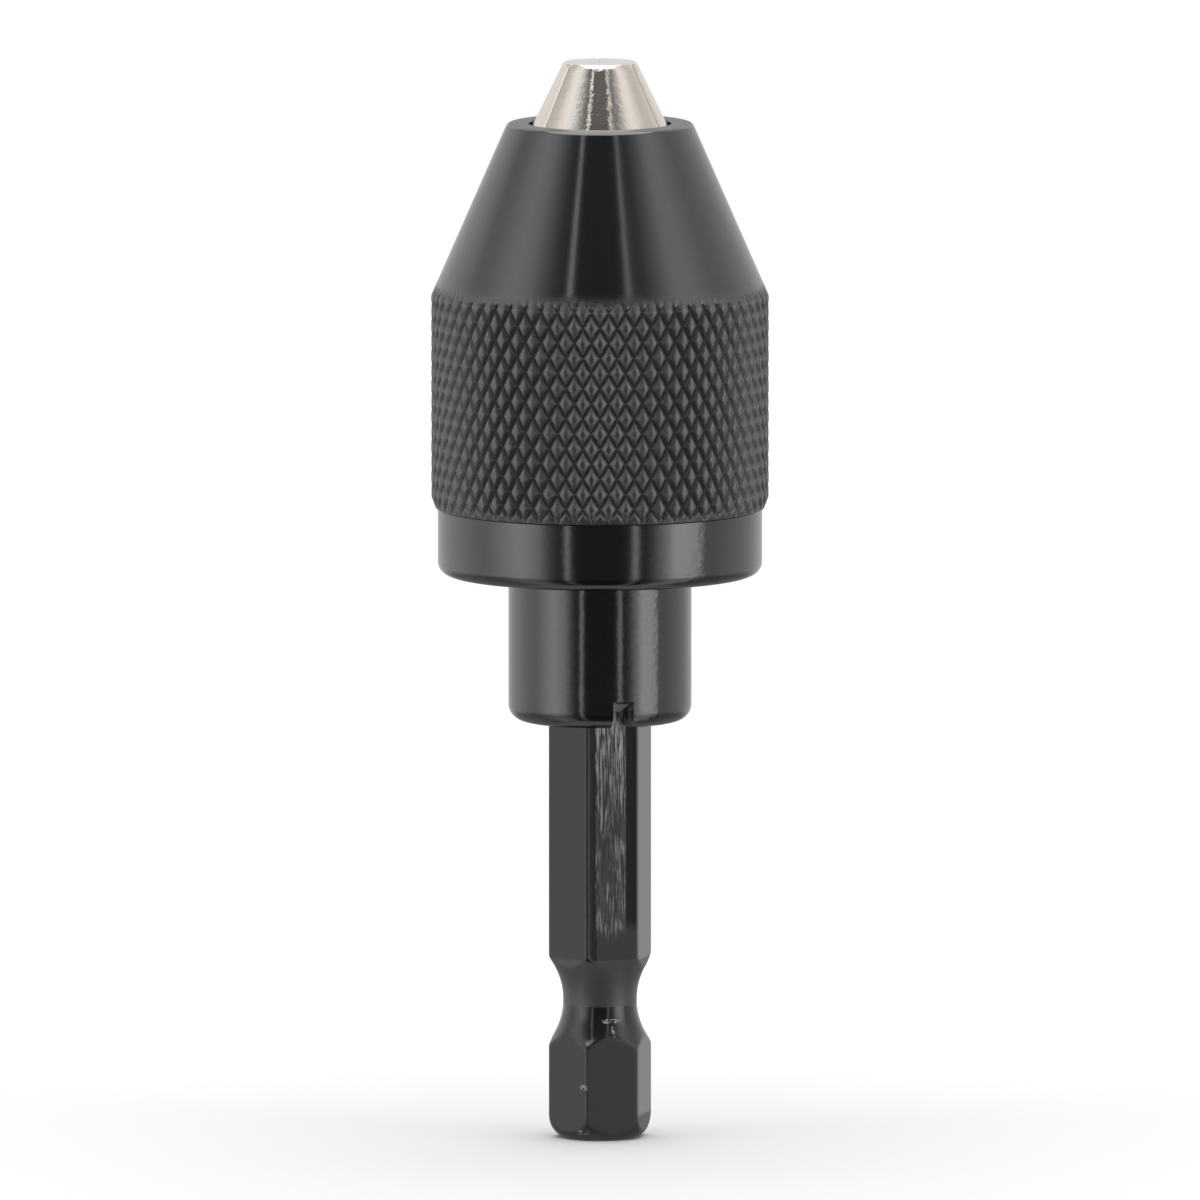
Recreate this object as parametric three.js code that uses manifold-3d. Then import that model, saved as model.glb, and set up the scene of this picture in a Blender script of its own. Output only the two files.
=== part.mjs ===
// Keyless three-jaw drill chuck on a quarter-inch hexagon shank.
//
// Millimetres, +Z towards the jaws. The origin is the centre of the shank's end face.
// Turning the knurled sleeve screws the jaw carrier along the axis, and the cone inside the
// sleeve closes the three jaws as they come forward and lets them open as they go back.

import * as THREE from 'three';
import { mergeVertices } from 'three/addons/utils/BufferGeometryUtils.js';
import Module from 'manifold-3d';

const wasm = await Module();
wasm.setup();

const degrees = Math.PI / 180;

// ---- Clearances ----
const seatGap = 0.05;          // between faces that stay pressed together
const runningGap = 0.1;        // between faces that slide on each other
const turningGap = 0.15;       // radial, round pieces that turn past each other
const seamGap = 0.15;          // the dark seam between the sleeve and its rear ring
const endGap = 0.3;            // left at the end of a stroke or of a blind socket

// ---- Hexagon shank ----
const shankFlats = 6.35;       // across flats, a quarter-inch hexagon
const shankLength = 28.84;     // end face to the rear of the hub
const shankEndRound = 2.1;     // radius of the turned round at the end
const shankEndHeight = 1.8;    // how far that round reaches up the corners
const grooveHeight = 9.5;      // end face to the middle of the ball groove
const grooveRound = 4.7;       // radius of the groove's hollow
const grooveDepth = 1.14;      // below the corners of the hexagon

// ---- Hub, pressed on the shank ----
const hubLength = 10.08;       // the bare hub, from its rear face to the rear ring
const hubEdgeRound = 1.1;
const hubWeb = 1.6;            // solid between the shank's socket and the carrier's socket
const socketWall = 1.27;       // from the corners of the carrier's socket to the hub's skin
const flangeThickness = 1.95;
const stubStep = 2.1;          // from the flange's rim in to the guide in front of it
const stubLength = 2.3;
const notchWidth = 1.45;       // the notch in the hub's rear edge
const notchHeight = 0.85;      // to the start of its sloping top
const notchSlope = 1.05;       // how much higher the slope ends at the hub's skin

// ---- Rear ring, which closes the sleeve ----
const ringStep = 0.46;         // the ring is this much smaller than the grip
const ringHeight = 4.49;
const ringFloor = 1.78;
const ringEdgeRound = 0.87;
const ringChamfer = 0.25;
const spigotWall = 1.05;

// ---- Thrust bearing ----
const ballDiameter = 1.6;
const ballCount = 12;
const raceLip = 0.605;         // beside the balls, on each side
const washerThickness = 0.6;
const cageThickness = 0.7;
const cageLip = 0.3;           // beside the balls, on each side

// ---- Sleeve ----
const gripRadius = 11.6;       // over the knurl
const gripChamferHeight = 1.0;
const gripChamferDepth = 0.4;
const spigotCover = 1.3;       // from the grip in to the rear ring's spigot
const threadCover = 1.75;      // from the grip in to the bore that carries the thread
const threadRunout = 0.75;     // bore left in front of the carrier when the jaws are closed
const coneStep = 0.05;         // the smooth cone starts this much below the knurl
const coneHalfAngle = 23.7 * degrees;
const noseRim = 1.25;          // width of the flat front face
const noseRound = 0.4;

// ---- Jaws ----
const jawCount = 3;
const jawHalfAngle = 26 * degrees;
const jawNoseRadius = 4.55;    // where the closed jaws pass the sleeve's front face
const jawRise = 4.2;           // how far the closed jaws stand out of the sleeve
const jawTipChamfer = 0.15;
const jawSlit = 0.3;           // between neighbouring closed jaws
const jawTravel = 3.1;         // radial, closed to open
const jawFacing = -11 * degrees;   // from the shank's front flat to the front jaw
const mouthGap = 0.34;
const neckWidth = 2.2;
const footWidth = 4.0;
const footHeight = 1.5;
const footSetback = 0.25;      // from the slits to the inner corners of the foot

// ---- Jaw carrier ----
const carrierFloor = 1.6;      // under the feet of the jaws
const carrierLip = 1.4;        // over them
const carrierRim = 1.05;       // left outside the feet when the jaws are open
const tailWall = 0.85;
const tailHold = 3.7;          // how much of the tail stays in the hub when the jaws are closed

// ---- Facets ----
const wideSides = 48;
const narrowSides = 36;
const ballSides = 12;
const roundSteps = 4;
const hollowSteps = 8;
const margin = 1;              // how far a cutting tool reaches past what it cuts
const grooveLead = 2;          // degrees that the groove's arc runs on past the corners

// ---- Radii, from the grip inwards ----
const ringRadius = gripRadius - ringStep;
const spigotRadius = gripRadius - spigotCover;
const counterboreRadius = spigotRadius + runningGap;
const threadRadius = gripRadius - threadCover;
const flangeRadius = spigotRadius - spigotWall - turningGap;
const ballCircle = flangeRadius - raceLip - ballDiameter / 2;
const hubRadius = ballCircle - ballDiameter / 2 - raceLip;
const hubPassage = hubRadius + turningGap;
const stubRadius = flangeRadius - stubStep;
const carrierRadius = threadRadius - runningGap;
const tailSocketFlats = 2 * (hubRadius - socketWall) * Math.cos(30 * degrees);
const tailFlats = tailSocketFlats - 2 * runningGap;
const carrierBore = tailFlats / 2 - tailWall;
const jawBodyRadius = threadRadius - turningGap - jawTravel;
const jawTipRadius = jawNoseRadius - jawRise * Math.tan(jawHalfAngle);
const mouthRadius = jawNoseRadius + mouthGap;
const noseEdgeRadius = mouthRadius + noseRim;
const coneFrontRadius = noseEdgeRadius + noseRound;
const coneRearRadius = gripRadius - coneStep;
const shankCornerRadius = shankFlats / 2 / Math.cos(30 * degrees);

// ---- Heights, from the shank's end upwards ----
const hubRear = shankLength;
const ringRear = hubRear + hubLength;
const ringTop = ringRear + ringHeight;
const rearWasherBottom = ringRear + ringFloor + seatGap;
const ballBottom = rearWasherBottom + washerThickness + seatGap;
const ballMiddle = ballBottom + ballDiameter / 2;
const flangeRear = ballBottom + ballDiameter + seatGap;
const flangeFront = flangeRear + flangeThickness;
const stubTop = flangeFront + stubLength;
const frontWasherBottom = flangeFront + runningGap;
const frontWasherTop = frontWasherBottom + washerThickness;
const spigotTop = frontWasherBottom - seatGap;
const counterboreTop = frontWasherTop + seatGap;

const carrierStroke = jawTravel / Math.tan(jawHalfAngle);
const carrierBottom = stubTop + endGap + carrierStroke;
const footSlotBottom = carrierBottom + carrierFloor;
const footBottom = footSlotBottom + runningGap;
const footTop = footBottom + footHeight;
const footSlotTop = footTop + runningGap;
const carrierTop = footSlotTop + carrierLip;
const tailBottom = stubTop - tailHold;
const tailSocketBottom = tailBottom - carrierStroke - endGap;
const shankTop = tailSocketBottom - hubWeb - endGap;

const innerConeNoseRadius = jawNoseRadius + runningGap;
const innerConeRear = carrierTop + threadRunout;
const noseTop = innerConeRear + (threadRadius - innerConeNoseRadius) / Math.tan(jawHalfAngle);
const mouthBottom = noseTop - (mouthRadius - innerConeNoseRadius) / Math.tan(jawHalfAngle);
const coneFront = noseTop - noseRound;
const coneRear = coneFront - (coneRearRadius - coneFrontRadius) / Math.tan(coneHalfAngle);
const sleeveRear = ringTop + seamGap;
const jawBottom = carrierTop + runningGap;
const jawTop = noseTop + jawRise;
const jawConeRear = noseTop - (jawBodyRadius - jawNoseRadius) / Math.tan(jawHalfAngle);

// ---- Solids ----

// A closed geometry with shared vertices and no triangle without area.
function weld(geometry) {
  const bare = geometry.clone();
  bare.deleteAttribute('normal');
  bare.deleteAttribute('uv');
  const merged = mergeVertices(bare, 1e-5);
  const corners = merged.index.array;
  const kept = [];
  for (let i = 0; i < corners.length; i += 3) {
    const [a, b, c] = corners.slice(i, i + 3);
    if (a !== b && b !== c && c !== a) {
      kept.push(a, b, c);
    }
  }
  merged.setIndex(kept);
  return merged;
}

function toSolid(geometry) {
  const welded = weld(geometry);
  const mesh = new wasm.Mesh({
    numProp: 3,
    vertProperties: new Float32Array(welded.attributes.position.array),
    triVerts: new Uint32Array(welded.index.array),
  });
  return new wasm.Manifold(mesh);
}

function toGeometry(solid) {
  const mesh = solid.getMesh();
  const geometry = new THREE.BufferGeometry();
  geometry.setAttribute('position', new THREE.BufferAttribute(mesh.vertProperties, 3));
  geometry.setIndex(new THREE.BufferAttribute(mesh.triVerts, 1));
  geometry.computeVertexNormals();
  return geometry;
}

// A round solid about Z. The outline is a list of [radius, height], anticlockwise.
function turned(outline, sides) {
  const points = outline.map(([radius, height]) => new THREE.Vector2(radius, height));
  const onAxis = outline[0][0] === 0;
  if (!onAxis) {
    points.push(points[0].clone());
  }
  const geometry = new THREE.LatheGeometry(points, sides);
  geometry.rotateX(Math.PI / 2);
  return geometry;
}

// A prism along Z between two heights.
function prism(corners, bottom, top) {
  const shape = new THREE.Shape(corners.map(([x, y]) => new THREE.Vector2(x, y)));
  const geometry = new THREE.ExtrudeGeometry(shape, { depth: top - bottom, bevelEnabled: false });
  geometry.translate(0, 0, bottom);
  return geometry;
}

// A hexagon prism with two of its flats facing -Y and +Y.
function hexagon(flats, bottom, top) {
  const corner = flats / 2 / Math.cos(30 * degrees);
  const corners = [];
  for (let i = 0; i < 6; i += 1) {
    const angle = i * 60 * degrees;
    corners.push([corner * Math.cos(angle), corner * Math.sin(angle)]);
  }
  return prism(corners, bottom, top);
}

// A block along +X, with its width centred on the axis.
function block(fromX, toX, width, bottom, top) {
  const side = width / 2;
  return prism([[fromX, -side], [toX, -side], [toX, side], [fromX, side]], bottom, top);
}

function tube(inner, outer, bottom, top, sides) {
  return turned([[inner, bottom], [outer, bottom], [outer, top], [inner, top]], sides);
}

// Points of an arc in the outline's plane, from one angle to another, in degrees.
function arc(centreRadius, centreHeight, radius, fromAngle, toAngle, steps) {
  const points = [];
  for (let i = 0; i <= steps; i += 1) {
    const angle = (fromAngle + (toAngle - fromAngle) * i / steps) * degrees;
    points.push([
      centreRadius + radius * Math.cos(angle),
      centreHeight + radius * Math.sin(angle),
    ]);
  }
  return points;
}

// ---- Pieces ----

// The hexagon bar inside a turned envelope that rounds its end and cuts the ball groove.
function makeShank() {
  const clear = shankCornerRadius + margin;
  const endAngle = Math.asin(shankEndHeight / shankEndRound) / degrees;
  const grooveCentre = shankCornerRadius - grooveDepth + grooveRound;
  const grooveAngle = Math.acos((grooveRound - grooveDepth) / grooveRound) / degrees + grooveLead;
  const envelope = turned([
    [0, 0],
    ...arc(shankCornerRadius - shankEndRound, shankEndHeight, shankEndRound, -endAngle, 0, roundSteps),
    [clear, shankEndHeight + seatGap],
    [clear, grooveHeight - grooveRound],
    ...arc(grooveCentre, grooveHeight, grooveRound, 180 + grooveAngle, 180 - grooveAngle, hollowSteps),
    [clear, grooveHeight + grooveRound],
    [clear, shankTop],
    [0, shankTop],
  ], narrowSides);
  const bar = hexagon(shankFlats, -margin, shankTop + margin);
  return toGeometry(toSolid(bar).intersect(toSolid(envelope)));
}

// A turned hub with a flange, a socket for the shank, a socket for the carrier's tail, and a
// notch with a sloping top in its rear edge over the shank's front flat.
function makeHub() {
  const body = turned([
    [0, hubRear],
    ...arc(hubRadius - hubEdgeRound, hubRear + hubEdgeRound, hubEdgeRound, -90, 0, roundSteps),
    [hubRadius, flangeRear],
    [flangeRadius, flangeRear],
    [flangeRadius, flangeFront],
    [stubRadius, flangeFront],
    [stubRadius, stubTop],
    [0, stubTop],
  ], wideSides);
  const shankSocket = hexagon(shankFlats + 2 * seatGap, hubRear - margin, shankTop + endGap);
  const tailSocket = hexagon(tailSocketFlats, tailSocketBottom, stubTop + margin);
  const notchTop = hubRear + notchHeight;
  const slopeRun = hubRadius - shankFlats / 2;
  const notchSide = prism([
    [0, hubRear - margin],
    [hubRadius + margin, hubRear - margin],
    [hubRadius + margin, notchTop + notchSlope * (slopeRun + margin) / slopeRun],
    [shankFlats / 2, notchTop],
    [0, notchTop],
  ], -notchWidth / 2, notchWidth / 2);
  notchSide.rotateX(Math.PI / 2);
  notchSide.rotateZ(-Math.PI / 2);
  return toGeometry(
    toSolid(body)
      .subtract(toSolid(shankSocket))
      .subtract(toSolid(tailSocket))
      .subtract(toSolid(notchSide)),
  );
}

// The smooth ring behind the grip, with a floor behind the bearing and a spigot in the sleeve.
function makeRearRing() {
  return turned([
    [hubPassage, ringRear],
    ...arc(ringRadius - ringEdgeRound, ringRear + ringEdgeRound, ringEdgeRound, -90, 0, roundSteps),
    [ringRadius, ringTop - ringChamfer],
    [ringRadius - ringChamfer, ringTop],
    [spigotRadius, ringTop],
    [spigotRadius, spigotTop],
    [spigotRadius - spigotWall, spigotTop],
    [spigotRadius - spigotWall, ringRear + ringFloor],
    [hubPassage, ringRear + ringFloor],
  ], wideSides);
}

// The grip and the hood in one piece. Its bore steps from the ring's seat to the thread, and
// then narrows to the mouth in a cone that drives the jaws.
function makeSleeve() {
  return turned([
    [counterboreRadius, sleeveRear],
    [gripRadius - gripChamferDepth, sleeveRear],
    [gripRadius, sleeveRear + gripChamferHeight],
    [gripRadius, coneRear - coneStep],
    [coneRearRadius, coneRear],
    ...arc(noseEdgeRadius, coneFront, noseRound, 0, 90, roundSteps),
    [mouthRadius, noseTop],
    [mouthRadius, mouthBottom],
    [threadRadius, innerConeRear],
    [threadRadius, counterboreTop],
    [counterboreRadius, counterboreTop],
  ], wideSides);
}

// A flat ring with a round pocket for each ball.
function makeCage() {
  const inner = ballCircle - ballDiameter / 2 - cageLip;
  const outer = ballCircle + ballDiameter / 2 + cageLip;
  const bottom = ballMiddle - cageThickness / 2;
  let cage = toSolid(tube(inner, outer, bottom, bottom + cageThickness, wideSides));
  const pocketRadius = ballDiameter / 2 + runningGap;
  for (let i = 0; i < ballCount; i += 1) {
    const pocket = turned([
      [0, bottom - margin],
      [pocketRadius, bottom - margin],
      [pocketRadius, bottom + cageThickness + margin],
      [0, bottom + cageThickness + margin],
    ], ballSides);
    pocket.translate(ballCircle, 0, 0);
    pocket.rotateZ(i * 2 * Math.PI / ballCount);
    cage = cage.subtract(toSolid(pocket));
  }
  return toGeometry(cage);
}

function makeBall() {
  const outline = arc(0, 0, ballDiameter / 2, -90, 90, ballSides / 2);
  outline[0][0] = 0;
  outline[outline.length - 1][0] = 0;
  return turned(outline, ballSides);
}

// The threaded disc with a T-slot for the foot of each jaw, and a hollow hexagon tail that
// slides in the hub and keeps the disc from turning.
function makeCarrier() {
  const disc = turned([
    [0, carrierBottom],
    [carrierRadius, carrierBottom],
    [carrierRadius, carrierTop],
    [0, carrierTop],
  ], wideSides);
  const tail = hexagon(tailFlats, tailBottom, carrierBottom + carrierFloor / 2);
  const bore = turned([
    [0, tailBottom - margin],
    [carrierBore, tailBottom - margin],
    [carrierBore, carrierTop + margin],
    [0, carrierTop + margin],
  ], narrowSides);
  let carrier = toSolid(disc).add(toSolid(tail)).subtract(toSolid(bore));
  const rim = carrierRadius + margin;
  for (let i = 0; i < jawCount; i += 1) {
    const neckSlot = block(0, rim, neckWidth + 2 * runningGap, footSlotBottom, carrierTop + margin);
    const footSlot = block(0, rim, footWidth + 2 * runningGap, footSlotBottom, footSlotTop);
    for (const slot of [neckSlot, footSlot]) {
      slot.rotateZ(jawAngle(i));
      carrier = carrier.subtract(toSolid(slot));
    }
  }
  return toGeometry(carrier);
}

function jawAngle(index) {
  return -Math.PI / 2 + jawFacing + index * 2 * Math.PI / jawCount;
}

// One sector of the closed cone, made along +X, with a neck and a foot that ride in the carrier.
function makeJaw() {
  const blank = turned([
    [0, jawBottom],
    [jawBodyRadius, jawBottom],
    [jawBodyRadius, jawConeRear],
    [jawTipRadius + jawTipChamfer * Math.tan(jawHalfAngle), jawTop - jawTipChamfer],
    [jawTipRadius - jawTipChamfer, jawTop],
    [0, jawTop],
  ], wideSides);
  const halfSector = Math.PI / jawCount;
  const apex = jawSlit / 2 / Math.sin(halfSector);
  const reach = 2 * jawBodyRadius;
  const farX = apex + reach * Math.cos(halfSector);
  const farY = reach * Math.sin(halfSector);
  const sector = prism([
    [apex, 0],
    [farX, -farY],
    [farX + reach, -farY],
    [farX + reach, farY],
    [farX, farY],
  ], jawBottom - margin, jawTop + margin);
  const footInner = (footWidth / 2 + jawSlit) / Math.tan(halfSector) + footSetback;
  const footOuter = carrierRadius - carrierRim - jawTravel;
  const neck = block(footInner, footOuter, neckWidth, footBottom, jawBottom + footHeight);
  const foot = block(footInner, footOuter, footWidth, footBottom, footTop);
  return toGeometry(
    toSolid(blank)
      .intersect(toSolid(sector))
      .add(toSolid(neck))
      .add(toSolid(foot)),
  );
}

// ---- Materials ----

function finish(colour, roughness, metalness) {
  return new THREE.MeshStandardMaterial({ color: colour, roughness, metalness });
}

const blackShank = finish(0x191a1c, 0.42, 0.6);
const blackHub = finish(0x101113, 0.3, 0.5);
const blackGrip = finish(0x141517, 0.36, 0.5);
const bearingSteel = finish(0xb8babd, 0.18, 1.0);
const brass = finish(0xb08d4a, 0.35, 1.0);
const carrierSteel = finish(0x6d6f72, 0.4, 1.0);
const nickel = finish(0xc9c3b8, 0.22, 1.0);

// ---- Assembly ----

const chuck = new THREE.Group();

function place(parent, name, geometry, material) {
  const mesh = new THREE.Mesh(geometry, material);
  mesh.name = name;
  parent.add(mesh);
  return mesh;
}

const washerInner = stubRadius + turningGap;

place(chuck, 'hex_shank', makeShank(), blackShank);
place(chuck, 'hub_body', makeHub(), blackHub);
place(chuck, 'sleeve', makeSleeve(), blackGrip);
place(chuck, 'rear_ring', makeRearRing(), blackHub);
place(
  chuck,
  'rear_race_washer',
  tube(hubPassage, flangeRadius, rearWasherBottom, rearWasherBottom + washerThickness, wideSides),
  bearingSteel,
);
place(
  chuck,
  'front_thrust_washer',
  tube(washerInner, spigotRadius, frontWasherBottom, frontWasherTop, wideSides),
  bearingSteel,
);
place(chuck, 'ball_cage', makeCage(), brass);

const ballGeometry = makeBall();
for (let i = 0; i < ballCount; i += 1) {
  const angle = i * 2 * Math.PI / ballCount;
  const number = String(i + 1).padStart(2, '0');
  const ball = place(chuck, `bearing_ball_${number}`, ballGeometry, bearingSteel);
  ball.position.set(ballCircle * Math.cos(angle), ballCircle * Math.sin(angle), ballMiddle);
}

place(chuck, 'jaw_carrier', makeCarrier(), carrierSteel);

const jawGeometry = makeJaw();
for (let i = 0; i < jawCount; i += 1) {
  const jaw = place(chuck, `jaw_${i + 1}`, jawGeometry, nickel);
  jaw.rotation.z = jawAngle(i);
}

export default chuck;
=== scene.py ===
"""A keyless drill chuck on a quarter-inch hexagon shank, standing on its shank on a pale floor.

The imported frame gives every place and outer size. The pieces here are the smooth, finished
surfaces of the same pieces: the knurled sleeve with its thread, the rear ring, the hub with its
notch, the shank with its ball groove, the three plated jaws, the carrier and the bearing.
"""
import math

import bmesh
import bpy
import numpy as np
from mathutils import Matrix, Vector


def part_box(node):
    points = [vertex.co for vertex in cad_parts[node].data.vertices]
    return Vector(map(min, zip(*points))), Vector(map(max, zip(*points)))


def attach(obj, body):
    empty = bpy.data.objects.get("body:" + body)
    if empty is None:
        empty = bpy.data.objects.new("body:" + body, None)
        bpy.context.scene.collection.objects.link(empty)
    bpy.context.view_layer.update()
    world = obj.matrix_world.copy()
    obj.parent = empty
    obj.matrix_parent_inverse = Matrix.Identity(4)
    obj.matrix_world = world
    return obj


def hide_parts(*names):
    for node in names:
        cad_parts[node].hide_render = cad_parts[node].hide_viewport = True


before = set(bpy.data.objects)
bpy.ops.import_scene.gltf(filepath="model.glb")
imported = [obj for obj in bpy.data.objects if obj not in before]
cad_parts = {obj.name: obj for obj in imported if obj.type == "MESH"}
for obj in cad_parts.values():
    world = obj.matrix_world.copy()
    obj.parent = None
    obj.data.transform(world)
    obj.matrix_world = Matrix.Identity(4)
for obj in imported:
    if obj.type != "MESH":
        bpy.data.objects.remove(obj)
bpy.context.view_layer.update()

MM = 0.001
DEG = math.pi / 180
TAU = 2 * math.pi
HEX_HALF = 30 * DEG     # half the angle that one flat of a hexagon takes up
WELD = 2e-7             # metres between points that become one
SLIVER = 1e-8           # metres, the shortest edge that a face may have

# ---- Sizes that the frame doesn't give, in millimetres ----
END_GAP = 0.3
SEAT_GAP = 0.05
RUNNING_GAP = 0.1
TURNING_GAP = 0.15
MOUTH_GAP = 0.34

SHANK_CORNER_ROUND = 0.1
SHANK_END_ROUND = 2.1
SHANK_END_HEIGHT = 1.8
SHANK_BLEND = 0.05
GROOVE_HEIGHT = 9.5
GROOVE_ROUND = 4.7
GROOVE_DEPTH = 1.14
GROOVE_REACH = 4.2

HUB_EDGE_ROUND = 1.1
HUB_FILLET = 0.2
HUB_WEB = 1.6
FLANGE_THICKNESS = 1.95
STUB_STEP = 2.1
STUB_FILLET = 0.15
STUB_MOUTH_ROUND = 0.25
SOCKET_WALL = 1.27
SOCKET_CHAMFER = 0.15
NOTCH_WIDTH = 1.45
NOTCH_HEIGHT = 0.85
NOTCH_SLOPE = 1.05

RING_EDGE_ROUND = 0.87
RING_HEIGHT = 4.62
RING_TOP_ROUND = 0.1
RING_FLOOR = 1.78
RING_FLOOR_ROUND = 0.1
RING_LIP_ROUND = 0.12
SPIGOT_COVER = 1.3
SPIGOT_WALL = 1.05
SPIGOT_ROUND = 0.15

THREAD_COVER = 1.75
THREAD_PITCH = 1.5
THREAD_DEPTH = 0.55
THREAD_FADE = 0.6
GRIP_CHAMFER_HEIGHT = 0.8
GRIP_CHAMFER_DEPTH = 0.3
CONE_HALF_ANGLE = 23.7 * DEG
CONE_STEP = 0.05
NOSE_RIM = 1.25
NOSE_ROUND = 0.4
MOUTH_ROUND = 0.1
KNURL_ROW = 2.08
KNURL_DEPTH = 0.28
KNURL_BLEND = 0.02
KNURL_RUNOUT = 1.0

JAW_HALF_ANGLE = 26 * DEG
JAW_FACING = -11 * DEG
JAW_NOSE_RADIUS = 4.55
JAW_BODY_RADIUS = 6.6
JAW_SLIT = 0.04
JAW_TRAVEL = 3.1
JAW_TIP_CHAMFER = 0.08
JAW_EDGE_WIDTH = 0.2
JAW_EDGE_DEPTH = 0.1
JAW_POINT_CHAMFER = 0.08
FOOT_WIDTH = 4.0
FOOT_HEIGHT = 1.5
FOOT_SETBACK = 0.25
FOOT_CHAMFER = 0.15
NECK_WIDTH = 2.2
CARRIER_RIM = 1.05
WASHER_ROUND = 0.1

# ---- Counts and shares ----
BALL_COUNT = 12
JAW_COUNT = 3
KNURL_COUNT = 60
KNURL_FLAT = 0.6        # the share of a groove's spacing that its two flanks take up
THREAD_ROOT = 0.3       # the share of the pitch that is the flat root
THREAD_CREST = 0.75     # the share where the flanks reach the crest

# ---- How finely the surfaces are divided ----
KNURL_CELLS = 8
THREAD_STEPS = 6
RING_COLUMNS = 288
HUB_COLUMNS = 360
HUB_ARC_STEPS = 8
NOTCH_COLUMNS = 7
NOTCH_SPREAD = 30       # columns, and so degrees, from the notch's middle to even steps
FLAT_COLUMNS = 60
FLAT_CROWDING = 1.6     # above 1 it draws a flat's columns towards the hexagon's corners
SHANK_END_ROWS = 16
GROOVE_ROWS = 74
BAR_ROWS = 40
JAW_CONE_ROWS = 24
JAW_SIDE_POINTS = 8
JAW_ARC_POINTS = 40
WASHER_COLUMNS = 160
WASHER_ARC_STEPS = 3
BALL_ROWS = 25
BALL_COLUMNS = 48

# ---- Colours and gloss; a gloss is the index of refraction that sets the reflection ----
BLACK = (0.0040, 0.0042, 0.0050)
BLACK_GLOSS = 2.13
GRIP_COLOUR = (0.022, 0.022, 0.023)
RUBBED_CREST = (0.075, 0.075, 0.08)
SHANK_COLOUR = (0.008, 0.008, 0.009)
SHANK_GLOSS = 1.8
# Mostly a painted reflection: this grey on the shank's upper groove and low front face stands in
# for the floor reflected there; a little of it marks real wear on the scuffed strip.
SHANK_WEAR_AND_PAINTED_REFLECTION = (0.042, 0.042, 0.046)
SCRATCHED_STEEL = (0.42, 0.42, 0.43)
# A painted reflection: this grey on the hub notch's face stands in for the floor reflected in it.
NOTCH_PAINTED_REFLECTION = (0.30, 0.30, 0.31)
NICKEL = (0.86, 0.785, 0.70)
GROUND_NICKEL = (0.78, 0.77, 0.76)
RACE_STEEL = (0.62, 0.62, 0.63)
BRASS = (0.60, 0.42, 0.17)
CARRIER_STEEL = (0.30, 0.31, 0.32)
FLOOR_COLOUR = (0.9, 0.9, 0.9)

# ---- Textures: how many times a millimetre each one varies along X, Y and Z ----
TURNED_LINES = (1.4, 1.4, 7.0)
PITTING = (9.0, 9.0, 9.0)
RUB_STREAKS = (2.0, 2.0, 3.0)
SHEEN_PATCHES = (0.35, 0.35, 0.8)
GRIP_GRAIN = (5.0, 5.0, 5.0)
HOOD_LINES = (1.2, 1.2, 9.0)
SHANK_GRAIN = (6.0, 6.0, 6.0)
DRAWN_LINES = (9.0, 9.0, 0.25)
STRIP_WOBBLE = (1.5, 1.5, 2.5)
SCRATCHES = (13.0, 13.0, 0.6)
WEAR_PATCHES = (0.9, 0.9, 0.5)
GRINDING = (1.2, 1.2, 2.4)
FINE_GRINDING = (4.0, 4.0, 5.0)
DULL_PATCHES = (1.1, 1.1, 1.4)
TURNED_CIRCLES = (0.6, 0.6, 8.0)
TOOL_RINGS = 18.0       # radians of the tool's wave in a millimetre of radius

# ---- Marks on the black finish, and where the notch's face is painted as a reflection, in millimetres and, for bearings, degrees ----
RUBBED_BEARING = -69
RUBBED_HALF_WIDTH = 7
RUBBED_DEPTH = 0.03
# Where the notch's face is painted grey, a painted reflection of the floor.
NOTCH_FACE_Y = -4.6
NOTCH_FACE_HALF = (NOTCH_WIDTH / 2, 1.5, 1.1)
CREST_EDGE_DEPTH = 0.1
SCUFF_WIDTH = 2.1
SCUFF_SHIFT = -0.1
SCUFF_HEIGHT = 14.8
SCUFF_NEAR_HUB = 7.0
SHANK_NICKS = [
    ((-1.95, -3.0, 3.75), (0.2, 0.5, 0.22)), ((-1.9, -2.9, 0.6), (0.4, 0.7, 0.18)),
    ((0.1, -2.6, 8.25), (0.75, 0.6, 0.16)), ((0.15, -2.6, 7.6), (0.13, 0.6, 0.7)),
]

# ---- Light and camera: bearings in degrees from the lens, distances in millimetres ----
VIEW_BEARING = -15 * DEG
VIEW_HEIGHT = 6.6 * DEG
CAMERA_DISTANCE = 3000
CAMERA_REACH = 10000
AIM_HEIGHT = 37.1
LENS = 1310
SENSOR_WIDTH = 36.0
FLOOR_REACH = 4000
OVERHEAD_POWER = 1.6
OVERHEAD_SPREAD = 70 * DEG
WHITE = (1.0, 1.0, 1.0)
COOL = (0.92, 0.96, 1.0)
TENT_PEAK = 2.0
TENT_TOP = 0.6
TENT_BELOW = 0.4
TENT_FLOOR = 0.4
# The sines of the elevations between which one part of the tent gives way to the next.
TENT_RISE = (0.15, 0.5)
TENT_CROWN = (0.80, 0.97)
TENT_SINK = (-0.45, -0.2)
TENT_FOOT = (-0.8, -0.97)
# Each band is a bearing, a brightness and a tint: first the walls, then the slope above them.
TENT_WALL = [
    (-180, 0.68, WHITE), (-150, 0.8, WHITE), (-120, 0.8, WHITE), (-94, 0.62, WHITE),
    (-86, 0.68, WHITE), (-60, 1.37, COOL), (-45, 0.93, COOL), (-36, 0.28, COOL),
    (-28, 0.06, COOL), (-25.6, 0.08, WHITE), (-24.6, 1.2, WHITE), (-22.0, 1.2, WHITE),
    (-21, 0.07, WHITE), (-16, 0.05, COOL), (16, 0.05, COOL), (23.0, 0.1, WHITE),
    (24.0, 1.1, WHITE), (26.8, 1.1, WHITE), (27.8, 0.1, WHITE), (32, 0.078, COOL),
    (38, 0.25, COOL), (48, 0.9, WHITE), (56, 1.7, WHITE), (72, 1.5, WHITE),
    (84, 0.4, WHITE), (120, 0.6, WHITE), (150, 0.8, WHITE), (180, 0.68, WHITE),
]
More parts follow.
